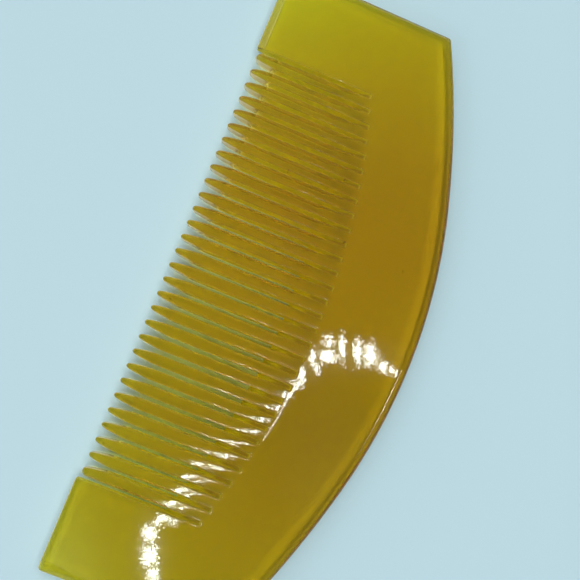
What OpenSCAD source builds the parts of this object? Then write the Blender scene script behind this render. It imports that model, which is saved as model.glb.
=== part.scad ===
// One-piece dressing comb in amber plastic: thirty straight teeth between two solid end guards, under a bowed back.
// It lies flat. X runs along the comb, the teeth point to -Y and the back is towards +Y.
// The origin is on the surface that the comb lies on, below the middle of its length and height.

/* [Outline] */
// Length from end to end
comb_l = 114.4; // [112:0.2:130]
// Height from the guards' edge to the crest of the back
comb_h = 46.9; // [44:0.1:52]
// Radius of the back over the middle stretch
back_mid_r = 105; // [95:1:130]
// Width of the middle stretch
back_mid_w = 53; // [40:1:64]
// Radius of the back from the middle stretch to the ends
back_end_r = 172; // [150:1:220]
// Radius of the four corners, seen from above
corner_r = 0.7; // [0.5:0.1:1.5]

/* [Teeth] */
// Number of teeth
tooth_n = 30; // [24:1:31]
// Distance from one tooth to the next
pitch = 2.7; // [2.4:0.05:2.8]
// Width of the sawn slot between two teeth
slot_w = 0.78; // [0.6:0.02:1]
// Height of the middle slot's end above the guards' edge
root_h = 28.9; // [24:0.1:32]
// Radius of the arch on which the slots end
root_r = 129; // [100:1:200]
// How far the points stop short of the guards' edge
tip_gap = 0.5; // [0.1:0.1:1]
// Length of the leaf-shaped point
leaf_l = 4.9; // [3:0.1:8]
// Width of the very end of a point
leaf_end_w = 0.74; // [0.5:0.02:1]

/* [Thickness] */
// Thickness of the middle of the comb
thick = 4.4; // [3.8:0.1:5.5]
// Width of the flat of each face, from front to back
flat_w = 16; // [12:1:18]
// Distance from the flat's middle to the guards' edge
flat_y = 30; // [28:0.5:31]
// Length of the flat of each face
flat_l = 50; // [40:1:70]
// How much each face falls from the flat to the points
tip_fall = 1; // [0.6:0.05:1.2]
// How much each face falls from the flat to the two ends
end_fall = 0.4; // [0.2:0.05:0.6]

/* [Bevels] */
// Width of the bevel along the back
back_bevel_w = 1.4; // [0.8:0.1:2]
// Height of the upright edge left under the back's bevel
back_edge_h = 2; // [1.6:0.1:2.4]
// Width of the bevel along the two ends
end_bevel_w = 0.8; // [0.4:0.1:1.5]
// Height of the upright edge left at the ends
end_edge_h = 1.8; // [1.2:0.1:2.2]
// Width of the bevel along the points and the guards' edge
tip_bevel_w = 1.5; // [0.8:0.1:2]
// Height of the upright edge left at the points and the guards
tip_edge_h = 1.2; // [0.9:0.1:1.5]

/* [Hidden] */
half_l = comb_l / 2;
half_t = thick / 2;
// Room beyond the solid for what is cut away or kept
over = 4;
slot_n = tooth_n + 1;
tooth_w = pitch - slot_w;
// Centres of the arcs of the back
mid_x = back_mid_w / 2;
mid_cy = comb_h - back_mid_r;
arc_shift = mid_x * (1 - back_end_r / back_mid_r);
end_cy = mid_cy + sqrt(back_mid_r ^ 2 - mid_x ^ 2) * (1 - back_end_r / back_mid_r);
// Both edges of the flat across the comb, and the arcs that fall away from it
flat_lo = flat_y - flat_w / 2;
flat_hi = flat_y + flat_w / 2;
fall_r = (flat_lo ^ 2 + tip_fall ^ 2) / (2 * tip_fall);
// Slope of the bevel at the points, which ends on the falling face
tip_slope = (face_half_t(tip_bevel_w) - tip_edge_h / 2) / tip_bevel_w;
// Leaf-shaped points are bounded by arcs that leave the tooth's sides without a corner
leaf_side = (tooth_w - leaf_end_w) / 2;
leaf_r = (leaf_l ^ 2 + leaf_side ^ 2) / (2 * leaf_side);
leaf_top = tip_gap + leaf_l;
// Facets along the fall to the ends
end_steps = 8;

function slot_x(i) = (i - (slot_n - 1) / 2) * pitch;
function slot_end(x) = root_h - root_r + sqrt(root_r ^ 2 - x ^ 2);
function unit(v) = v / norm(v);
// Half the thickness at a distance y behind the guards' edge, in front of the flat
function face_half_t(y) = half_t - fall_r + sqrt(fall_r ^ 2 - (flat_lo - y) ^ 2);
// Along the comb, s goes from 0 at the end of the flat to 1 at the end of the comb
function end_half_t(s) = half_t - end_fall * s ^ 2;
function end_x(s) = flat_l / 2 + s * (half_l - flat_l / 2);

// A disc with a bevel on both rims, which gives one arc of the back
module bevelled_disc(r) {
  rotate_extrude($fn = 256)
    polygon([
      [0, -half_t], [r - back_bevel_w, -half_t], [r, -back_edge_h / 2],
      [r, back_edge_h / 2], [r - back_bevel_w, half_t], [0, half_t]
    ]);
}

// One stretch of the body between two places along it, under the arc of a disc
module back_stretch(x_lo, x_hi, centre, r) {
  intersection() {
    translate(centre) bevelled_disc(r);
    translate([x_lo, -over, -over]) cube([x_hi - x_lo, comb_h + 2 * over, 2 * over]);
  }
}

// Body under the whole back: a middle stretch and two flatter ones that continue it without a corner
module under_back() {
  back_stretch(-mid_x, mid_x, [0, mid_cy, 0], back_mid_r);
  back_stretch(mid_x, half_l + over, [arc_shift, end_cy, 0], back_end_r);
  back_stretch(-half_l - over, -mid_x, [-arc_shift, end_cy, 0], back_end_r);
}

// A lens between two arcs that leave the flat at y, kept from y_lo to y_hi
module falling_faces(y, y_lo, y_hi) {
  intersection() {
    translate([y, half_t - fall_r]) circle(fall_r, $fn = 256);
    translate([y, fall_r - half_t]) circle(fall_r, $fn = 256);
    translate([y_lo, -over]) square([y_hi - y_lo, 2 * over]);
  }
}

// Wedge that bevels both faces at the points and the guards' edge
module tip_wedge() {
  far = comb_h + over;
  high = tip_edge_h / 2 + tip_slope * far;
  polygon([[0, -tip_edge_h / 2], [far, -high], [far, high], [0, tip_edge_h / 2]]);
}

// Section from the points to the back: flat in the middle, with faces that fall away on arcs
module cross_section() {
  intersection() {
    union() {
      falling_faces(flat_lo, -over, flat_lo);
      translate([flat_lo, -half_t]) square([flat_w, thick]);
      falling_faces(flat_hi, flat_hi, comb_h + over);
    }
    tip_wedge();
  }
}

module across() {
  rotate([90, 0, 90])
    translate([0, 0, -half_l - over]) linear_extrude(comb_l + 2 * over) cross_section();
}

// Section from end to end: flat in the middle, falling away in short steps, with a bevel at both ends
module long_section() {
  side = concat(
    [for (i = [0:end_steps - 1]) [end_x(i / end_steps), end_half_t(i / end_steps)]],
    [[half_l - end_bevel_w, end_half_t(1)], [half_l, end_edge_h / 2]]
  );
  n = len(side);
  polygon(concat(
    side,
    [for (i = [n - 1:-1:0]) [side[i][0], -side[i][1]]],
    [for (p = side) [-p[0], -p[1]]],
    [for (i = [n - 1:-1:0]) [-side[i][0], side[i][1]]]
  ));
}

module along() {
  rotate([90, 0, 0])
    translate([0, 0, -comb_h - over]) linear_extrude(comb_h + 2 * over) long_section();
}

// What lies outside a corner's rounding, between the directions a and b
module corner_waste(centre, a, b) {
  translate(centre) difference() {
    polygon([[0, 0], a * over, (a + b) * over, b * over]);
    circle(corner_r, $fn = 64);
  }
}

module corners() {
  x = half_l - corner_r;
  y = end_cy + sqrt((back_end_r - corner_r) ^ 2 - (x - arc_shift) ^ 2);
  for (side = [0, 1]) mirror([side, 0]) {
    corner_waste([x, corner_r], [1, 0], [0, -1]);
    corner_waste([x, y], [1, 0], unit([x - arc_shift, y - end_cy]));
  }
}

// A sawn slot, and the two arcs that shape the points beside it
module slot(x, leaf) {
  translate([x - slot_w / 2, -over]) square([slot_w, slot_end(x) + over]);
  if (leaf) difference() {
    translate([x - pitch / 2, 0]) square([pitch, leaf_top]);
    translate([x - slot_w / 2 - leaf_r, leaf_top]) circle(leaf_r, $fn = 256);
    translate([x + slot_w / 2 + leaf_r, leaf_top]) circle(leaf_r, $fn = 256);
  }
}

// The outer slots stay straight, so that the two outer teeth are blunt beside the guards
module slots() {
  for (i = [0:slot_n - 1]) slot(slot_x(i), i > 0 && i < slot_n - 1);
  translate([slot_x(0), -over]) square([tooth_n * pitch, tip_gap + over]);
}

module comb() {
  color("goldenrod")
    translate([0, -comb_h / 2, half_t])
      difference() {
        intersection() {
          under_back();
          across();
          along();
        }
        translate([0, 0, -over]) linear_extrude(2 * over) slots();
        translate([0, 0, -over]) linear_extrude(2 * over) corners();
      }
}

comb();
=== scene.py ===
"""Looks of a Japanese hair comb, one piece of clear amber plastic that lies on a pale table.

Lengths are in millimetres in the comb's own plan: x runs along the comb, and y runs from the guards' edge to
the back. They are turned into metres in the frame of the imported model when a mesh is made.
"""

import math
import random

import bpy
from mathutils import Matrix, Vector, noise


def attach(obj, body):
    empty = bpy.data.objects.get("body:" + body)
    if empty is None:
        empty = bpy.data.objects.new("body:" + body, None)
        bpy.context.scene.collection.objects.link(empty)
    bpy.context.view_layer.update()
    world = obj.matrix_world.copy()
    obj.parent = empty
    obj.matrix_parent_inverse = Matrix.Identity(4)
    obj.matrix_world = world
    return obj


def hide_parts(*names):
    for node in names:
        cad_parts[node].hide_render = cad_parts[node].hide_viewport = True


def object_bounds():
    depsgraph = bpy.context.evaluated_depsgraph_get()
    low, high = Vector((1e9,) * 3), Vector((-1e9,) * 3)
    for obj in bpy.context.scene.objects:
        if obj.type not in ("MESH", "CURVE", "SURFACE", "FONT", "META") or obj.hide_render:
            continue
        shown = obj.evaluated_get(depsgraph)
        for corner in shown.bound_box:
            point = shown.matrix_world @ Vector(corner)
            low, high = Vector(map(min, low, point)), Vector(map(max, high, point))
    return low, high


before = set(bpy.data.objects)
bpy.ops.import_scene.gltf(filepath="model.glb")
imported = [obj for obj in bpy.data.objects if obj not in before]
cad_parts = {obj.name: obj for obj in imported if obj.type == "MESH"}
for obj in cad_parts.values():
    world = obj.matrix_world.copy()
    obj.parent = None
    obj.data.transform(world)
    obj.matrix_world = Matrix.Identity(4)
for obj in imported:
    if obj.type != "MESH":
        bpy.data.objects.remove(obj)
cad_low, cad_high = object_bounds()

MM = 0.001
# A distance that is farther than any that matters
FAR = 9.0
# The visual model stays this far inside the solid's box
SKIN = 0.01
COMB_L = (cad_high.x - cad_low.x) / MM - 2 * SKIN
COMB_H = (cad_high.y - cad_low.y) / MM - 2 * SKIN
HALF_L = COMB_L / 2
HALF_T = (cad_high.z - cad_low.z) / MM / 2
EDGE_Y = cad_low.y / MM + SKIN

# Outline, with the sizes of the solid
BACK_MID_R = 105
BACK_MID_X = 26.5
BACK_END_R = 172
CORNER_R = 0.7
GUARD_CORNER_R = 0.3
TOOTH_N = 30
PITCH = 2.7
SLOT_W = 0.78
ROOT_H = 28.9
ROOT_R = 129
TIP_GAP = 0.5
LEAF_L = 4.9
LEAF_END_W = 0.74
BLUNT_END_L = 0.9
POINT_END_L = 0.5
# The ends keep a width above nothing, as if they were cut off this far from where they would close
POINT_CUT = 0.01

# How the faces fall away from the crest
CREST_Y = 30
TIP_FALL = 1.0
BACK_FALL = 0.2
END_FALL = 0.42
TIP_POWER = 2.2
BACK_POWER = 2
END_POWER = 2.4
# The underside rests on its middle, which is flat by this much
REST_FLAT = 0.02

# Bevels as (width, half the height of the edge that they leave, radius of the edge)
BACK_BEVEL = (1.3, 1.1, 0.4)
END_BEVEL = (0.8, 1.05, 0.3)
TIP_BEVEL = (1.3, 0.6, 0.12)
SIDE_ROUND = 0.2
# How softly a bevel meets the face, and the height over it, in blends, from which it isn't felt
BEVEL_BLEND = 0.05
BLEND_REACH = 8
# The right guard's bevel is narrower
LOW_TIP_BEVEL = (0.6, 0.86, 0.25)
LOW_TIP_FROM = 40

# The round saw leaves the slots shorter on the underside, by this much, along a curve of this power
SAW_RUN = 6.0
SAW_CURVE = 1.6
# The walls of the slots are sawn from this distance behind the teeth's ends
SAWN_FROM = 3.0
SAWN_FULL = 7.0

# Hand finish: every tooth is crowned, and leans and stands a little differently
CROWN = 0.015
LEAN = 0.004
SLOT_END_WANDER = 0.12
# The crown fades over this length before the slots' ends
FADE_L = 2.5
# Painted shade at the slots' ends, down to this share of the depth
SLOT_END_SHADE = 0.7
SLOT_SHADE_TO = 0.6
# Painted light: a yellower band along the back, this wide, and full from this distance to the edge
RIM_W = 7.5
RIM_FULL = 1.5
# How much yellower the painted light makes the band, where light comes in through the bevel
RIM_PAINTED_LIGHT = 0.05
# Teeth differ by this much in yellow, fading over the last rows before the slots' ends
TOOTH_TONE = 0.05
TONE_ROWS = 10
# Painted highlight: the outermost edges are painted pale, this wide
EDGE_HIGHLIGHT_W = 0.22
EDGE_HIGHLIGHT_SHARE = 0.85
EDGE_HIGHLIGHT_CLOUDY = 0.55
EDGE_HIGHLIGHT_COLOUR = (0.95, 0.9, 0.6)
# The painted highlight runs along the teeth's sides up to SAWN_FROM, and less so over this length from there
EDGE_HIGHLIGHT_FADE = 2
# The ridge of the left guard's bevel gets a painted highlight as well, at this distance from the edge. It
# stops this far from the comb's end, and at this share of the guard's width
RIDGE_Y = 1.27
RIDGE_HIGHLIGHT = 0.7
RIDGE_END = 0.3
RIDGE_TO = 0.98
SEED = 7

# Camera, in the part's frame
CAMERA_AT = Vector((16.91, -14.28, 160.56))
CAMERA_TO = Vector((-2.59, -1.5, 2.2))
CAMERA_ROLL = math.radians(-112.4676)
CAMERA_LENS = 55.89
CAMERA_SENSOR = 36
CAMERA_CLIP = (0.01, 10)

TOOTH_W = PITCH - SLOT_W
SLOT_N = TOOTH_N + 1
LEAF_SIDE = (TOOTH_W - LEAF_END_W) / 2
LEAF_R = (LEAF_L**2 + LEAF_SIDE**2) / (2 * LEAF_SIDE)
MID_CY = COMB_H - BACK_MID_R
ARC_SHIFT = BACK_MID_X * (1 - BACK_END_R / BACK_MID_R)
END_CY = MID_CY + math.sqrt(BACK_MID_R**2 - BACK_MID_X**2) * (1 - BACK_END_R / BACK_MID_R)

# Rows and columns of the mesh, as distances from the edge that they follow
TIP_ROWS = (
    0, 0.02, 0.05, 0.1, 0.17, 0.26, 0.38, 0.52, 0.7, 0.9, 1.1, 1.2, RIDGE_Y, 1.34, 1.45, 1.65, 1.9, 2.3, 2.9,
    3.6, 4.5,
)
RIDGE_ROW = TIP_ROWS.index(RIDGE_Y)
TOOTH_ROWS = 12
ROOT_ROWS = (0, 0.02, 0.05, 0.09, 0.14, 0.2, 0.3, 0.5)
BODY_ROWS = 7
BACK_ROWS = (2.4, 1.9, 1.6, 1.48, 1.38, 1.28, 1.12, 0.8, 0.5, 0.32, 0.2, 0.1, 0.05, 0.015, 0)
END_COLUMNS = (0, 0.01, 0.04, 0.08, 0.14, 0.2, 0.3, 0.45, 0.6, 0.7, 0.76, 0.82, 0.9, 1.05, 1.4, 2.1)
SIDE_COLUMNS = (0, 0.015, 0.06, 0.12, 0.2, 0.34)
# Shares of a tooth's width
TOOTH_COLUMNS = [0.35, 0.5, 0.65]
GUARD_COLUMNS = 9
SLOT_COLUMNS = 4
WALL_ROWS = 7


def clamp(value, low=0.0, high=1.0):
    return max(low, min(high, value))


def smooth(t):
    t = clamp(t)
    return t * t * (3 - 2 * t)


def slot_x(i):
    return (i - (SLOT_N - 1) / 2) * PITCH


def root_y(x):
    """Height at which the slots end."""
    return ROOT_H - ROOT_R + math.sqrt(ROOT_R**2 - x * x)


def back_y(x, inset):
    """Height of the back, moved inwards by inset."""
    if abs(x) < BACK_MID_X * (BACK_MID_R - inset) / BACK_MID_R:
        return MID_CY + math.sqrt((BACK_MID_R - inset) ** 2 - x * x)
    return END_CY + math.sqrt((BACK_END_R - inset) ** 2 - (abs(x) - ARC_SHIFT) ** 2)


def face(x, y):
    """Half the comb's thickness under the polished faces, before any edge is taken off."""
    tips = TIP_FALL * clamp((CREST_Y - y) / CREST_Y, 0, 2) ** TIP_POWER
    back = BACK_FALL * clamp((y - CREST_Y) / (COMB_H - CREST_Y), 0, 2) ** BACK_POWER
    ends = END_FALL * (abs(x) / HALF_L) ** END_POWER
    return HALF_T - math.hypot(tips + back, ends)


def rounded(d, r):
    """What a round of radius r takes off at a distance d from an edge."""
    if d >= r:
        return 0.0
    return r - math.sqrt(max(0.0, r * r - (r - d) ** 2))


def under_bevel(height, d, bevel):
    """Half thickness near a bevelled edge, with a soft line where the bevel meets the face."""
    width, edge, r = bevel
    line = edge + (height - edge) * d / width
    t = math.exp(-(line - height) / BEVEL_BLEND) if line - height < BLEND_REACH * BEVEL_BLEND else 0.0
    return height - BEVEL_BLEND * math.log1p(t) - rounded(d, r)


class Comb:
    """Works out the mesh of the comb, strip by strip: guard, slot, tooth, slot and so on to the other guard.

    A column is (strip, number, share of the strip's width, distance from the comb's end) and runs from the
    tips to the back. A row follows the edge that is nearest.
    """

    def __init__(self):
        self.random = random.Random(SEED)
        self.slot_end = [
            root_y(slot_x(i)) + self.random.uniform(-SLOT_END_WANDER, SLOT_END_WANDER) for i in range(SLOT_N)
        ]
        self.lean = [self.random.uniform(-LEAN, LEAN) for _ in range(TOOTH_N)]
        self.stand = [self.random.uniform(-LEAN, LEAN) for _ in range(TOOTH_N)]
        self.tone_and_rim_light = [self.random.uniform(-TOOTH_TONE, TOOTH_TONE) for _ in range(TOOTH_N)]
        self.columns = self.make_columns()
        self.row_n = len(TIP_ROWS) + TOOTH_ROWS
        self.body_n = len(ROOT_ROWS) + BODY_ROWS + len(BACK_ROWS)

    def make_columns(self):
        """All columns from the left end to the right one."""
        columns = []
        guard_w = HALF_L + slot_x(0) - SLOT_W / 2
        inner = [guard_w - d for d in SIDE_COLUMNS]
        lo, hi = END_COLUMNS[-1], inner[-1]
        middle = [lo + (hi - lo) * k / (GUARD_COLUMNS + 1) for k in range(1, GUARD_COLUMNS + 1)]
        guard = list(END_COLUMNS) + middle + inner[::-1]
        columns += [("guard", 0, d / guard_w, d) for d in guard]
        side = [d / TOOTH_W for d in SIDE_COLUMNS]
        tooth = side + TOOTH_COLUMNS + [1 - t for t in side[::-1]]
        for i in range(SLOT_N):
            columns += [("slot", i, (k + 1) / (SLOT_COLUMNS + 1), None) for k in range(SLOT_COLUMNS)]
            if i < TOOTH_N:
                columns += [("tooth", i, t, None) for t in tooth]
        columns += [("guard", 1, 1 - d / guard_w, d) for d in guard[::-1]]
        return columns

    def root_line(self, column):
        """Where the slots' ends, joined by a line across each tooth, cross a column."""
        kind, i, t, _ = column
        if kind == "slot":
            return self.slot_end[i]
        if kind == "tooth":
            return self.slot_end[i] * (1 - t) + self.slot_end[i + 1] * t
        x = self.column_x(column, LEAF_L + 1)
        near = slot_x(0) - SLOT_W / 2 if i == 0 else slot_x(SLOT_N - 1) + SLOT_W / 2
        end = self.slot_end[0] if i == 0 else self.slot_end[-1]
        return end + root_y(x) - root_y(near)

    def tooth_sides(self, i, s):
        """Left and right side of a tooth at a distance s from its end."""
        centre = (slot_x(i) + slot_x(i + 1)) / 2
        leaf = LEAF_SIDE if s <= 0 else LEAF_R - math.sqrt(LEAF_R**2 - max(0.0, LEAF_L - s) ** 2)
        sides = []
        for outer in (i == 0, i == TOOTH_N - 1):
            length = BLUNT_END_L if i in (0, TOOTH_N - 1) else POINT_END_L
            half = TOOTH_W / 2 - (0 if outer else leaf)
            t = clamp((s + POINT_CUT) / length)
            sides.append(half * math.sqrt(1 - (1 - t) ** 2))
        return centre - sides[0], centre + sides[1]

    def column_x(self, column, s):
        kind, i, t, _ = column
        if kind == "guard":
            lo = -HALF_L if i == 0 else slot_x(SLOT_N - 1) + SLOT_W / 2
            hi = slot_x(0) - SLOT_W / 2 if i == 0 else HALF_L
        elif kind == "slot":
            lo, hi = slot_x(i) - SLOT_W / 2, slot_x(i) + SLOT_W / 2
        else:
            lo, hi = self.tooth_sides(i, s)
        return lo + (hi - lo) * t

    def side_distance(self, x, y, column, s, run):
        """Distance to the nearest slot, or to the outline of the tooth's own end."""
        kind, i, _, _ = column
        if kind == "tooth" and s < LEAF_L + 1:
            lo, hi = self.tooth_sides(i, s)
            return min(x - lo, hi - x, s)
        best = FAR
        near = round(x / PITCH + (SLOT_N - 1) / 2)
        for k in range(max(0, near - 1), min(SLOT_N, near + 2)):
            beside = max(0.0, abs(x - slot_x(k)) - SLOT_W / 2)
            past = max(0.0, y - self.slot_end[k] + run)
            best = min(best, math.hypot(beside, past))
        return best

    def corner(self, x, y, centre, r, to_side, to_edge, a, b):
        """Moves a point of a square corner into the rounded one. a and b are its distances from the edges."""
        if a >= r or b >= r:
            return x, y
        p, q = 1 - a / r, 1 - b / r
        t = 0.5 * q / p if p >= q else 1 - 0.5 * p / q
        angle = to_side + (to_edge - to_side) * t
        reach = max(p, q) * r
        return centre[0] + reach * math.cos(angle), centre[1] + reach * math.sin(angle)

    def place(self, row, column, run):
        """Plan position and half thickness of a vertex. The slots end by run before the upper face's."""
        kind, i, t, from_end = column
        root = self.root_line(column) - run
        start = TIP_GAP if kind == "tooth" else 0.0
        from_back = FAR
        if row < len(TIP_ROWS):
            y = start + TIP_ROWS[row]
        elif row < self.row_n:
            last = start + TIP_ROWS[-1]
            y = last + (root - last) * (row - len(TIP_ROWS) + 1) / (TOOTH_ROWS + 1)
        else:
            k = row - self.row_n
            x = self.column_x(column, FAR)
            lo, hi = root + ROOT_ROWS[-1], back_y(x, BACK_ROWS[0])
            if k < len(ROOT_ROWS):
                y = root + ROOT_ROWS[k]
            elif k < len(ROOT_ROWS) + BODY_ROWS:
                y = lo + (hi - lo) * (k - len(ROOT_ROWS) + 1) / (BODY_ROWS + 1)
            else:
                from_back = BACK_ROWS[k - len(ROOT_ROWS) - BODY_ROWS]
                y = back_y(x, from_back)
        s = y - start
        x = self.column_x(column, s)
        height = face(x, y)
        if kind == "tooth":
            fade = smooth((root - y) / FADE_L)
            across = 2 * t - 1
            height -= fade * (CROWN * across**2 + self.lean[i] * across + self.stand[i] + LEAN)
        if from_back < BACK_BEVEL[0] * 2:
            height = under_bevel(height, from_back, BACK_BEVEL)
        if from_end is not None and from_end < END_BEVEL[0] * 2:
            height = under_bevel(height, from_end, END_BEVEL)
        if y < TIP_BEVEL[0] * 2:
            height = under_bevel(height, y, TIP_BEVEL if x < LOW_TIP_FROM else LOW_TIP_BEVEL)
        height -= rounded(self.side_distance(x, y, column, s, run), SIDE_ROUND)
        if kind == "guard":
            x, y = self.guard_corners(x, y, i, from_end, from_back)
        return x, y, height

    def guard_corners(self, x, y, i, from_end, from_back):
        out = -1 if i == 0 else 1
        turn = math.pi if i == 0 else 0.0
        cx = out * (HALF_L - CORNER_R)
        if from_back < CORNER_R:
            cy = back_y(cx, CORNER_R)
            up = math.atan2(cy - END_CY, cx - out * ARC_SHIFT)
            x, y = self.corner(x, y, (cx, cy), CORNER_R, turn, up, from_end, from_back)
        elif y < CORNER_R and from_end < CORNER_R:
            down = -math.pi / 2 if i == 1 else 1.5 * math.pi
            x, y = self.corner(x, y, (cx, CORNER_R), CORNER_R, turn, down, from_end, y)
        elif y < GUARD_CORNER_R:
            inner = out * (slot_x(SLOT_N - 1) + SLOT_W / 2)
            gap = abs(x - inner)
            cx = inner + out * GUARD_CORNER_R
            turn, down = (0.0, -math.pi / 2) if i == 0 else (math.pi, 1.5 * math.pi)
            x, y = self.corner(x, y, (cx, GUARD_CORNER_R), GUARD_CORNER_R, turn, down, gap, y)
        return x, y

    def wall_finish(self, row, column, y):
        """How much the wall below a vertex is sawn, from 0 for polished to 1."""
        kind, _, t, from_end = column
        if kind == "slot":
            return 1.0 if row == self.row_n else 0.0
        beside_slot = t in (0, 1) and from_end != 0
        if not beside_slot or row > self.row_n:
            return 0.0
        if kind == "guard":
            return 1.0
        return smooth((y - SAWN_FROM) / (SAWN_FULL - SAWN_FROM))

    def tone_and_rim_light_at(self, row, column, point):
        """How much yellower a vertex is made: a little in some teeth at random, and along the back as painted
        light.
        """
        if row < self.row_n:
            fade = smooth((self.row_n - row) / TONE_ROWS)
            return self.tone_and_rim_light[column[1]] * fade if column[0] == "tooth" else 0.0
        return RIM_PAINTED_LIGHT * smooth((point[1] - back_y(point[0], RIM_W)) / (RIM_W - RIM_FULL))

    def edge_highlight_at(self, row, column, y):
        """Share of painted highlight: 1 at the very edge of the comb, to 0 at EDGE_HIGHLIGHT_W from it."""
        kind, _, t, from_end = column
        away = [FAR]
        if row < len(TIP_ROWS):
            away.append(TIP_ROWS[row])
        from_back = row - self.row_n - len(ROOT_ROWS) - BODY_ROWS
        if from_back >= 0:
            away.append(BACK_ROWS[from_back])
        if from_end is not None:
            away.append(from_end)
        if kind == "tooth" and row < self.row_n:
            away.append(min(t, 1 - t) * TOOTH_W + EDGE_HIGHLIGHT_W * smooth((y - SAWN_FROM) / EDGE_HIGHLIGHT_FADE))
        # Painted highlight on the ridge of the left guard's bevel
        on_ridge = column[:2] == ("guard", 0) and row == RIDGE_ROW
        if on_ridge and from_end > RIDGE_END and t < RIDGE_TO:
            return RIDGE_HIGHLIGHT
        return 1 - smooth(min(away) / EDGE_HIGHLIGHT_W)

    def build(self):
        """Both faces as grids over the same keys, with what the material needs to know at each vertex."""
        rows, columns = self.row_n + self.body_n, self.columns
        index, top, low, kinds, sawn, tone_and_rim_light, edge_highlight = {}, [], [], [], [], [], []
        for row in range(rows):
            for c, column in enumerate(columns):
                if row < self.row_n and column[0] == "slot":
                    continue
                index[row, c] = len(top)
                top.append(self.place(row, column, 0.0))
                low.append(self.place(row, column, SAW_RUN))
                kinds.append(column[0])
                sawn.append(self.wall_finish(row, column, top[-1][1]))
                tone_and_rim_light.append(self.tone_and_rim_light_at(row, column, top[-1]))
                edge_highlight.append(self.edge_highlight_at(row, column, top[-1][1]))
        quads = []
        for row in range(rows - 1):
            for c in range(len(columns) - 1):
                corners = [(row, c), (row, c + 1), (row + 1, c + 1), (row + 1, c)]
                if all(k in index for k in corners) and self.same_strip(row, c):
                    quads.append([index[k] for k in corners])
        return top, low, kinds, sawn, tone_and_rim_light, edge_highlight, quads

    def same_strip(self, row, c):
        """Below the slots' ends, two columns belong together only within one tooth or guard."""
        if row >= self.row_n:
            return True
        return self.columns[c][:2] == self.columns[c + 1][:2]


def comb_mesh():
    """Both faces and the walls between them. Each wall has WALL_ROWS rows of faces."""
    top, low, kinds, sawn, tone_and_rim_light, edge_highlight, quads = Comb().build()
    n = len(top)
    points = [(x, y, HALF_T + h) for x, y, h in top]
    points += [(x, y, max(0.0, HALF_T - h - REST_FLAT)) for x, y, h in low]
    sawn, tone_and_rim_light, edge_highlight, slot_shade = sawn + sawn, tone_and_rim_light + tone_and_rim_light, edge_highlight + edge_highlight, [0.0] * (2 * n)
    faces = list(quads) + [[n + v for v in q[::-1]] for q in quads]
    edges = set()
    for q in quads:
        edges.update(zip(q, q[1:] + q[:1]))
    border = [(a, b) for a, b in edges if (b, a) not in edges]
    border.sort()
    ladder = {}
    for a, _ in border:
        upper, lower = points[a], points[n + a]
        ladder[a] = [a]
        for k in range(1, WALL_ROWS):
            t = k / WALL_ROWS
            run = t**SAW_CURVE if kinds[a] == "slot" else t
            points.append((
                upper[0] + (lower[0] - upper[0]) * t,
                upper[1] + (lower[1] - upper[1]) * run,
                upper[2] + (lower[2] - upper[2]) * t,
            ))
            sawn.append(sawn[a])
            tone_and_rim_light.append(tone_and_rim_light[a])
            edge_highlight.append(edge_highlight[a])
            # Painted shade on the upper part of the slots' end walls
            slot_shade.append(SLOT_END_SHADE if kinds[a] == "slot" and t < SLOT_SHADE_TO else 0.0)
            ladder[a].append(len(points) - 1)
        ladder[a].append(n + a)
    for a, b in border:
        for k in range(WALL_ROWS):
            faces.append([ladder[b][k], ladder[a][k], ladder[a][k + 1], ladder[b][k + 1]])
    mesh = bpy.data.meshes.new("comb")
    mesh.from_pydata([(x * MM, (y + EDGE_Y) * MM, z * MM) for x, y, z in points], [], faces)
    mesh.polygons.foreach_set("use_smooth", [True] * len(mesh.polygons))
    for name, values in (("sawn", sawn), ("tone_and_rim_light", tone_and_rim_light), ("edge_highlight", edge_highlight), ("slot_shade", slot_shade)):
        mesh.attributes.new(name, "FLOAT", "POINT").data.foreach_set("value", values)
    mesh.update()
    return mesh


class Nodes:
    """Makes and joins the nodes of one material."""

    def __init__(self, tree):
        self.tree = tree

    def add(self, kind, inputs=(), **settings):
        node = self.tree.nodes.new(kind)
        for name, value in settings.items():
            setattr(node, name, value)
        for key, value in dict(inputs).items():
            if isinstance(value, bpy.types.NodeSocket):
                self.tree.links.new(value, node.inputs[key])
            else:
                node.inputs[key].default_value = value
        return node

    def math(self, operation, a, b=0.0, clamped=False):
        return self.add("ShaderNodeMath", {0: a, 1: b}, operation=operation, use_clamp=clamped).outputs[0]

    def ramp(self, value, stops, kind="LINEAR"):
        node = self.add("ShaderNodeValToRGB", {"Fac": value})
        node.color_ramp.interpolation = kind
        elements = node.color_ramp.elements
        while len(elements) < len(stops):
            elements.new(0.5)
        for element, (at, colour) in zip(elements, stops):
            element.position = at
            element.color = (*colour, 1)
        return node.outputs["Color"]

    def noise(self, vector, scale, detail):
        inputs = {"Vector": vector, "Scale": scale, "Detail": detail}
        return self.add("ShaderNodeTexNoise", inputs).outputs["Fac"]

    def mark(self, x, y, mark, edge):
        """One elongated mark: full inside the share edge of its size, and nothing outside it."""
        at_x, at_y, length, width, turn, dark = mark
        across = self.add("ShaderNodeCombineXYZ", {"X": x, "Y": y}).outputs[0]
        place = self.add("ShaderNodeMapping", {"Vector": across}, vector_type="TEXTURE")
        place.inputs["Location"].default_value = (at_x * MM, (at_y + EDGE_Y) * MM, 0)
        place.inputs["Rotation"].default_value = (0, 0, math.radians(turn))
        place.inputs["Scale"].default_value = (length * MM, width * MM, 1)
        far = self.add("ShaderNodeVectorMath", {0: place.outputs[0]}, operation="LENGTH").outputs["Value"]
        return self.add(
            "ShaderNodeMapRange",
            {"Value": far, "From Min": edge, "From Max": 1.0, "To Min": dark, "To Max": 0.0},
            interpolation_type="SMOOTHSTEP",
        ).outputs[0]

    def mapped(self, vector, scale):
        return self.add("ShaderNodeMapping", {"Vector": vector, "Scale": scale}).outputs[0]


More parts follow.
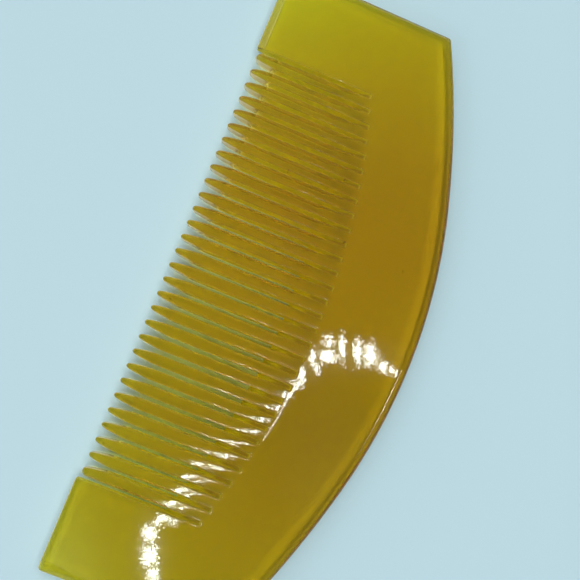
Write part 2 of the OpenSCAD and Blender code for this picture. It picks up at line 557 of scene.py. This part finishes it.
# Colour over the plan: brown in the middle of the comb, yellow-green at the guards' tips
BROWN = (0.73, 0.525, 0.057)
YELLOW = (0.855, 0.82, 0.075)
# How yellow the plastic is along the comb, from its left end at 0 to its right end at 1
YELLOW_ALONG = (
    (0, 1.0), (0.07, 0.95), (0.2, 0.3), (0.31, 0.1), (0.45, 0.18), (0.75, 0.45), (0.9, 0.75), (1, 1.0),
)
# It falls to this share at this distance from the guards' edge
BACK_REACH = 35
BACK_SHARE = 0.55
# Cloudiness and streaks of the colour: how fine, how much, and the stretch of the streaks
CLOUD_FINE = 75
CLOUD_YELLOW = 0.2
STREAK_FINE = 900
STREAK_YELLOW = 0.15
STREAK_STRETCH = (1.0, 0.25, 1.0)
# A darker, bluer tint towards the right end
LOW_END = 0.23
LOW_END_X = (5, 38)
LOW_END_TINT = (0.7, 0.7, 1.0)
# The sawn walls at the tips and, from SAWN_INNER_Y on, near the slots' ends
SAWN_COLOUR = (0.97, 0.95, 0.07)
SAWN_INNER = (0.97, 0.91, 0.02)
SAWN_INNER_Y = 24
# Colour of the painted shade at the slots' ends
SLOT_SHADE_COLOUR = (0.42, 0.24, 0.02)
SAWN_ROUGH = 0.8
SAWN_CLOUDY = 0.2
POLISH_ROUGH = 0.02
CLEAR = 0.9
PLASTIC_IOR = 1.49
# What the plastic takes out of the light with depth
DEEP = (0.87, 0.7, 0.0)
DEEP_DENSITY = 200
# Slow waves and fine sanding marks in the polish: how fine, and how high in metres
SWELL_FINE = 260
SWELL_HIGH = 2.0e-6
GRAIN_FINE = 1700
GRAIN_HIGH = 2.5e-7
GRAIN_STRETCH = (0.3, 1.0, 1.0)

# Marks on the polished face as (x, y, half length, half width, turn in degrees, how dark)
MARKS = (
    (-13.1, 39.3, 0.35, 0.12, 20, 0.8), (-6.8, 23.6, 0.5, 0.1, 60, 0.5), (-24.6, 23.6, 0.2, 0.13, 0, 0.8),
    (-22.1, 13.6, 0.16, 0.13, 0, 0.8), (-14.0, 27.6, 0.28, 0.2, 0, 0.9), (7.0, 3.1, 0.3, 0.16, 70, 0.8),
    (34.0, 2.1, 0.25, 0.14, 30, 0.7),
)
MARK_COLOUR = (0.2, 0.08, 0.01)
SMUDGES = ((-33.0, 38.3, 3.2, 0.8, 10, 0.22), (-26.5, 36.0, 1.6, 0.35, -15, 0.14))
# Share of its size inside which a mark is full
MARK_FULL = 0.7
SMUDGE_FULL = 0.0


def amber_material():
    material = bpy.data.materials.new("amber_plastic")
    material.use_nodes = True
    tree = material.node_tree
    tree.nodes.clear()
    n = Nodes(tree)
    place = n.add("ShaderNodeTexCoord").outputs["Object"]
    split = n.add("ShaderNodeSeparateXYZ", {0: place})
    x, y = split.outputs["X"], split.outputs["Y"]
    sawn = n.add("ShaderNodeAttribute", attribute_name="sawn").outputs["Fac"]
    tone_and_rim_light = n.add("ShaderNodeAttribute", attribute_name="tone_and_rim_light").outputs["Fac"]

    ends = {"Value": x, "From Min": -HALF_L * MM, "From Max": HALF_L * MM}
    along = n.add("ShaderNodeMapRange", ends).outputs[0]
    out = n.ramp(along, grey(YELLOW_ALONG), "B_SPLINE")
    low_y, high_y = EDGE_Y * MM, (EDGE_Y + BACK_REACH) * MM
    share = n.add(
        "ShaderNodeMapRange",
        {"Value": y, "From Min": low_y, "From Max": high_y, "To Min": 1.0, "To Max": BACK_SHARE},
        interpolation_type="SMOOTHSTEP",
    ).outputs[0]
    yellow = n.math("MULTIPLY", out, share)
    cloud = n.math("SUBTRACT", n.noise(place, CLOUD_FINE, 2.0), 0.5)
    yellow = n.math("ADD", yellow, n.math("MULTIPLY", cloud, CLOUD_YELLOW))
    streak = n.math("SUBTRACT", n.noise(n.mapped(place, STREAK_STRETCH), STREAK_FINE, 2.0), 0.5)
    yellow = n.math("ADD", yellow, n.math("MULTIPLY", streak, STREAK_YELLOW))
    # Adds the teeth's own random yellow and the painted light along the back
    yellow = n.math("ADD", yellow, tone_and_rim_light, clamped=True)
    base = n.ramp(yellow, [(0.0, BROWN), (1.0, YELLOW)])

    low, high = LOW_END_X[0] * MM, LOW_END_X[1] * MM
    low_end = n.add(
        "ShaderNodeMapRange",
        {"Value": x, "From Min": low, "From Max": high, "To Min": 0.0, "To Max": LOW_END},
        interpolation_type="SMOOTHSTEP",
    ).outputs[0]
    darker = {"Factor": low_end, "A": base, "B": (*LOW_END_TINT, 1)}
    base = n.add("ShaderNodeMix", darker, data_type="RGBA", blend_type="MULTIPLY").outputs["Result"]

    # Painted highlight: pale cream along the outermost edges, which are also made cloudier
    edge_highlight = n.add("ShaderNodeAttribute", attribute_name="edge_highlight").outputs["Fac"]
    edge_highlight_mix = {"Factor": n.math("MULTIPLY", edge_highlight, EDGE_HIGHLIGHT_SHARE), "A": base, "B": (*EDGE_HIGHLIGHT_COLOUR, 1)}
    base = n.add("ShaderNodeMix", edge_highlight_mix, data_type="RGBA").outputs["Result"]

    swell = n.noise(place, SWELL_FINE, 1.0)
    grain = n.noise(n.mapped(place, GRAIN_STRETCH), GRAIN_FINE, 2.0)
    bump = n.add("ShaderNodeBump", {"Height": swell, "Distance": SWELL_HIGH})
    bump = n.add("ShaderNodeBump", {"Height": grain, "Distance": GRAIN_HIGH, "Normal": bump.outputs[0]})

    rough = n.math("ADD", n.math("MULTIPLY", sawn, SAWN_ROUGH), POLISH_ROUGH)
    inner = n.add(
        "ShaderNodeMapRange",
        {"Value": y, "From Min": (EDGE_Y + SAWN_FROM) * MM, "From Max": (EDGE_Y + SAWN_INNER_Y) * MM},
    ).outputs[0]
    wall = n.ramp(inner, [(0.0, SAWN_COLOUR), (1.0, SAWN_INNER)])
    base = n.add("ShaderNodeMix", {"Factor": sawn, "A": base, "B": wall}, data_type="RGBA").outputs["Result"]
    # Painted shade darkens the slots' ends
    slot_shade = n.add("ShaderNodeAttribute", attribute_name="slot_shade").outputs["Fac"]
    slot_shaded = {"Factor": slot_shade, "A": base, "B": (*SLOT_SHADE_COLOUR, 1)}
    base = n.add("ShaderNodeMix", slot_shaded, data_type="RGBA").outputs["Result"]
    on_top = n.math("GREATER_THAN", split.outputs["Z"], HALF_T * MM)
    shade = 0.0
    for marks, edge in ((MARKS, MARK_FULL), (SMUDGES, SMUDGE_FULL)):
        for mark in marks:
            shade = n.math("ADD", shade, n.mark(x, y, mark, edge))
    shade = n.math("MULTIPLY", shade, on_top, clamped=True)
    dark = {"Factor": shade, "A": base, "B": (*MARK_COLOUR, 1)}
    base = n.add("ShaderNodeMix", dark, data_type="RGBA").outputs["Result"]
    surface = {"Base Color": base, "Roughness": rough, "Normal": bump.outputs[0]}
    shader = n.add("ShaderNodeBsdfPrincipled", surface)
    shader.inputs["IOR"].default_value = PLASTIC_IOR
    clear = n.math("SUBTRACT", CLEAR, n.math("MULTIPLY", sawn, SAWN_CLOUDY))
    clear = n.math("MULTIPLY", clear, n.math("SUBTRACT", 1.0, n.math("MULTIPLY", edge_highlight, EDGE_HIGHLIGHT_CLOUDY)))
    tree.links.new(clear, shader.inputs["Transmission Weight"])
    volume = n.add("ShaderNodeVolumeAbsorption", {"Color": (*DEEP, 1), "Density": DEEP_DENSITY})
    output = n.add("ShaderNodeOutputMaterial", {"Surface": shader.outputs[0], "Volume": volume.outputs[0]})
    output.is_active_output = True
    return material


TABLE = (0.60, 0.83, 0.91)
TABLE_ROUGH = 0.7
TABLE_SHINE = 0.2
# Half its width, and its height just under the comb, in metres
TABLE_HALF = 1.5
TABLE_Z = -0.00003


def floor_material():
    material = bpy.data.materials.new("pale_table")
    material.use_nodes = True
    shader = material.node_tree.nodes["Principled BSDF"]
    shader.inputs["Base Color"].default_value = (*TABLE, 1)
    shader.inputs["Roughness"].default_value = TABLE_ROUGH
    shader.inputs["Specular IOR Level"].default_value = TABLE_SHINE
    return material


def add_floor():
    half, z = TABLE_HALF, TABLE_Z
    mesh = bpy.data.meshes.new("table")
    corners = [(-half, -half, z), (half, -half, z), (half, half, z), (-half, half, z)]
    mesh.from_pydata(corners, [], [(0, 1, 2, 3)])
    floor = bpy.data.objects.new("table", mesh)
    mesh.materials.append(floor_material())
    bpy.context.scene.collection.objects.link(floor)


# Brightness of the surroundings against the sine of the elevation, and from the tips' side to the back's
SKY = ((0.0, 0.1), (0.2, 0.5), (0.42, 1.1), (0.75, 1.0), (0.855, 0.06), (1.0, 0.06))
SKY_AROUND = ((0.0, 1.0), (0.3, 1.0), (0.45, 0.8), (0.55, 0.4), (0.75, 0.15), (1.0, 0.1))
# No light comes straight along the slots from between these sines of the angle to them
SLOT_DARK = (0.16, 0.3)
# A low light all around, and how much of it there is from the tips' side to the back's
SKY_LOW = ((0.0, 0.8), (0.2, 0.8), (0.3, 0.0))
SKY_LOW_AROUND = ((0.0, 1.0), (0.35, 1.0), (0.6, 0.3), (1.0, 0.1))
# Plain panels overhead, which the comb doesn't mirror. The middle one leaves the slots dark
PANEL_Z = 900
PANEL_GAP = 110
PANEL_W = 340
PANEL_L = 700
PANEL_LIGHT = 3.65
MIDDLE_LIGHT = 0.9
PANEL_COLUMNS = 16


def grey(levels):
    """Stops of a ramp from numbers."""
    return [(at, (value,) * 3) for at, value in levels]


def add_world():
    world = bpy.data.worlds.new("soft_light")
    bpy.context.scene.world = world
    world.use_nodes = True
    n = Nodes(world.node_tree)
    coordinates = n.add("ShaderNodeTexCoord")
    split = n.add("ShaderNodeSeparateXYZ", {0: coordinates.outputs["Generated"]})
    height = n.ramp(split.outputs["Z"], grey(SKY))
    across = n.math("ADD", n.math("MULTIPLY", split.outputs["Y"], 0.5), 0.5)
    side = n.ramp(across, grey(SKY_AROUND))
    away = n.math("ABSOLUTE", split.outputs["X"])
    beside = n.add(
        "ShaderNodeMapRange",
        {"Value": away, "From Min": SLOT_DARK[0], "From Max": SLOT_DARK[1]},
        interpolation_type="SMOOTHSTEP",
    ).outputs[0]
    ring = n.math("MULTIPLY", n.math("MULTIPLY", height, side), beside)
    low = n.ramp(split.outputs["Z"], grey(SKY_LOW))
    front = n.ramp(across, grey(SKY_LOW_AROUND))
    total = n.math("ADD", ring, n.math("MULTIPLY", low, front))
    background = world.node_tree.nodes["Background"]
    background.inputs["Color"].default_value = (1, 1, 1, 1)
    world.node_tree.links.new(total, background.inputs["Strength"])


def add_panel(name, low_x, high_x, through_only):
    """A panel that shines on everything, or only on what is seen through the comb, weaker in its middle."""
    z, half = PANEL_Z * MM, PANEL_L / 2 * MM
    points, strength, faces = [], [], []
    for k in range(PANEL_COLUMNS + 1):
        x = low_x + (high_x - low_x) * k / PANEL_COLUMNS
        points += [(x * MM, -half, z), (x * MM, half, z)]
        middle = 1 - smooth(abs(x) / PANEL_GAP)
        strength += [PANEL_LIGHT + (MIDDLE_LIGHT - PANEL_LIGHT) * middle] * 2
        if k:
            faces.append([2 * k - 2, 2 * k - 1, 2 * k + 1, 2 * k])
    mesh = bpy.data.meshes.new(name)
    mesh.from_pydata(points, [], faces)
    mesh.attributes.new("glow", "FLOAT", "POINT").data.foreach_set("value", strength)
    mesh.materials.append(lamp_material(name, (1, 1, 1, 1)))
    panel = bpy.data.objects.new(name, mesh)
    bpy.context.scene.collection.objects.link(panel)
    panel.visible_camera = panel.visible_glossy = panel.visible_shadow = False
    panel.visible_diffuse = not through_only


def add_camera():
    data = bpy.data.cameras.new("camera")
    data.lens = CAMERA_LENS
    data.sensor_width = CAMERA_SENSOR
    data.clip_start, data.clip_end = CAMERA_CLIP
    camera = bpy.data.objects.new("camera", data)
    bpy.context.scene.collection.objects.link(camera)
    ahead = (CAMERA_TO - CAMERA_AT).normalized()
    north = Vector((0, 1, 0))
    north = (north - ahead * north.dot(ahead)).normalized()
    east = ahead.cross(north)
    up = north * math.cos(CAMERA_ROLL) + east * math.sin(CAMERA_ROLL)
    right = ahead.cross(up)
    turn = Matrix((right, up, -ahead)).transposed().to_4x4()
    camera.matrix_world = Matrix.Translation(CAMERA_AT * MM) @ turn
    bpy.context.scene.camera = camera


# The lamp is a patch of light high above the table, shaped so that the comb's faces mirror it in these places
# A spot is (x, y, half its length, half its width, how solid it is), and its length lies at SPOT_TURN
SPOT_TURN = math.radians(21.6)
SPOTS = (
    (7.03, 29.9, 1.1, 0.6, 0.9), (8.6, 31.3, 1.1, 0.6, 0.5), (10.66, 29.26, 1.3, 0.5, 1.0),
    (5.88, 32.29, 0.9, 1.2, 1.0), (3.6, 31.6, 1.3, 1.2, 0.4), (3.64, 34.08, 1.8, 0.5, 0.95),
    (3.22, 36.99, 1.8, 0.6, 0.95), (2.91, 39.18, 1.6, 0.95, 1.0), (3.23, 36.03, 1.0, 0.15, 0.8),
    (3.99, 42.13, 1.0, 0.7, 0.9), (3.94, 43.66, 0.8, 0.35, 0.8), (4.19, 44.93, 0.8, 0.35, 0.8),
    (41.7, 16.2, 0.5, 0.9, 0.8), (42.9, 15.6, 0.5, 0.6, 0.7), (44.9, 15.15, 1.1, 0.95, 1.0),
    (48.4, 16.6, 1.5, 1.05, 1.0), (51.0, 18.2, 1.1, 0.9, 0.95), (53.6, 20.2, 1.1, 0.8, 0.8),
)
SPOT_LIGHT = 40
# A haze is (x, y, half its length, half its width, brightness)
HAZES = (
    (4.2, 36.5, 2.6, 6.0, 1.0), (8.5, 30.5, 2.6, 1.6, 1.0), (48.0, 16.5, 5.0, 2.2, 2.0),
    (57.0, 2.0, 9.0, 9.0, 0.6), (22.0, 38.0, 14.0, 8.0, 0.1),
)
# Ribbons along which the lamp shows, two across the teeth and one along the slots' ends. A ribbon is
# (half its width, how solid it is, how much it breaks up into streaks, points)
RIBBONS = (
    (0.8, 0.55, 1.4, (
        (42.0, 16.0), (39.2, 16.3), (36.4, 17.2), (33.7, 17.8), (31.0, 18.6), (28.3, 21.0), (22.9, 24.2),
        (17.5, 26.9), (12.5, 28.6),
    )),
    (0.9, 0.15, 1.4, ((42.0, 18.0), (39.2, 18.3), (36.4, 19.2), (33.7, 19.8), (31.0, 20.8), (28.3, 22.6))),
    (0.1, 0.9, 0.0, ((13.2, 28.9), (14.9, 28.7), (16.7, 28.3), (19.5, 27.95), (23.6, 27.1))),
)
# The lamp's image breaks up at its edge into grit: how much, how fine along and across, place in the noise
GRIT = ((1.8, (2.4, 5.0), 5.0), (0.8, (6.0, 9.0), 8.0))
# Nothing of it shows beyond this many times a spot's size
GRIT_REACH = 3
# Streaks in the ribbons: how fine along the comb and across, and a place in the noise
STREAKS = (0.35, 1.6, 11.0)
# Its edge wanders as well: how much, and how fine along the comb and across
WANDER = (0.3, 1.6, 2.2)
SPOT_SIZE = 1.08
SPOT_EDGE = 0.2
LAMP_COLOUR = (0.92, 1.0, 0.95, 1)
LAMP_Z = 350
# Half the distance over which the face's slope is measured
SLOPE_STEP = 0.05
LAMP_CELL = 0.11
# Left, right, front and back of the part of the plan that mirrors it, and the least light that is kept
LAMP_BOX = (-6, 57, 0, 47)
LAMP_LEAST = 0.03
# A strip of the lamp that shows as a thin line along the back's bevel: left, right, front, back and strength
STRIP = (-28, 70, 230, 310, 55)
STRIP_PIECE = 1.0
# It fades from this share of its length, and flickers: level, how much and how fine
STRIP_FADE = 0.3
STRIP_FLICKER = (0.6, 1.6, 0.5)


def mirrored(x, y):
    """Where the camera sees the lamp's height in the polished face at a place in the plan."""
    step = SLOPE_STEP
    slope_x = (face(x + step, y) - face(x - step, y)) / (2 * step)
    slope_y = (face(x, y + step) - face(x, y - step)) / (2 * step)
    normal = Vector((-slope_x, -slope_y, 1)).normalized()
    point = Vector((x, y + EDGE_Y, HALF_T + face(x, y)))
    ray = (point - CAMERA_AT).normalized()
    ray -= 2 * ray.dot(normal) * normal
    return point + ray * (LAMP_Z - point.z) / ray.z


def far(x, y, points):
    """Distance to a line through points."""
    best = math.inf
    for (ax, ay), (bx, by) in zip(points, points[1:]):
        dx, dy = bx - ax, by - ay
        t = clamp(((x - ax) * dx + (y - ay) * dy) / (dx * dx + dy * dy))
        best = min(best, math.hypot(x - ax - t * dx, y - ay - t * dy))
    return best


def glow(x, y):
    """Brightness of the lamp where it shows at a place in the plan."""
    c, s = math.cos(SPOT_TURN), math.sin(SPOT_TURN)
    near, soft = FAR, 0.0
    for cx, cy, length, width, solid in SPOTS:
        along, across = c * (x - cx) + s * (y - cy), c * (y - cy) - s * (x - cx)
        near = min(near, math.hypot(along / length, across / width) + 1 - solid)
    streak = noise.noise((x * STREAKS[0], y * STREAKS[1], STREAKS[2]))
    for half, solid, broken, points in RIBBONS:
        near = min(near, far(x, y, points) / half + 1 - solid + broken * streak)
    for cx, cy, length, width, strength in HAZES:
        along, across = c * (x - cx) + s * (y - cy), c * (y - cy) - s * (x - cx)
        soft += strength * math.exp(-math.hypot(along / length, across / width) ** 2)
    if near > GRIT_REACH:
        return soft
    along, across = c * x + s * y, c * y - s * x
    ragged = WANDER[0] * noise.noise((x * WANDER[1], y * WANDER[2], 0.0))
    for fine, (by_length, by_width), place in GRIT:
        ragged += fine * noise.noise((along * by_length, across * by_width, place))
    return soft + SPOT_LIGHT * smooth((SPOT_SIZE - near - ragged) / SPOT_EDGE)


def add_lamp():
    x_low, x_high, y_low, y_high = LAMP_BOX
    columns, rows = int((x_high - x_low) / LAMP_CELL), int((y_high - y_low) / LAMP_CELL)
    light = {}
    for i in range(columns):
        for j in range(rows):
            value = glow(x_low + i * LAMP_CELL, y_low + j * LAMP_CELL)
            if value > LAMP_LEAST:
                light[i, j] = value
    index, points, values, faces = {}, [], [], []

    def vertex(key):
        if key not in index:
            index[key] = len(points)
            points.append(mirrored(x_low + key[0] * LAMP_CELL, y_low + key[1] * LAMP_CELL) * MM)
            values.append(light.get(key, 0.0))
        return index[key]

    for i, j in light:
        faces.append([vertex(k) for k in ((i, j), (i + 1, j), (i + 1, j + 1), (i, j + 1))])
    left, right, front, back, strength = STRIP
    level, flicker, fine = STRIP_FLICKER
    pieces = int((right - left) / STRIP_PIECE)
    for k in range(pieces + 1):
        x = left + (right - left) * k / pieces
        points += [Vector((x, y, LAMP_Z)) * MM for y in (front, back)]
        fade = 1 - smooth((k / pieces - STRIP_FADE) / (1 - STRIP_FADE))
        values += [strength * fade * clamp(level + flicker * noise.noise((x * fine, 0.0, 3.0)))] * 2
        if k:
            n = len(points)
            faces.append([n - 4, n - 2, n - 1, n - 3])
    mesh = bpy.data.meshes.new("lamp")
    mesh.from_pydata(points, [], faces)
    mesh.attributes.new("glow", "FLOAT", "POINT").data.foreach_set("value", values)
    mesh.materials.append(lamp_material("lamp", LAMP_COLOUR))
    lamp = bpy.data.objects.new("lamp", mesh)
    bpy.context.scene.collection.objects.link(lamp)
    lamp.visible_camera = lamp.visible_diffuse = lamp.visible_transmission = lamp.visible_shadow = False


def lamp_material(name, colour):
    material = bpy.data.materials.new(name)
    material.use_nodes = True
    tree = material.node_tree
    tree.nodes.clear()
    n = Nodes(tree)
    strength = n.add("ShaderNodeAttribute", attribute_name="glow").outputs["Fac"]
    shader = n.add("ShaderNodeEmission", {"Strength": strength})
    shader.inputs["Color"].default_value = colour
    n.add("ShaderNodeOutputMaterial", {"Surface": shader.outputs[0]})
    return material


add_camera()
add_world()
add_lamp()
add_panel("panel_left", -PANEL_GAP - PANEL_W, -PANEL_GAP, False)
add_panel("panel_right", PANEL_GAP, PANEL_GAP + PANEL_W, False)
add_panel("panel_middle", -PANEL_GAP, PANEL_GAP, True)
add_floor()
comb = bpy.data.objects.new("comb_body", comb_mesh())
bpy.context.scene.collection.objects.link(comb)
comb.data.materials.append(amber_material())
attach(comb, "root")
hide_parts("comb")

bpy.context.scene.view_settings.view_transform = "Standard"
# Light goes through many walls of clear plastic
light_paths = bpy.context.scene.cycles
light_paths.blur_glossy = 0
light_paths.max_bounces = 40
light_paths.glossy_bounces = 32
light_paths.transmission_bounces = 32
light_paths.diffuse_bounces = 12
bpy.context.view_layer.update()
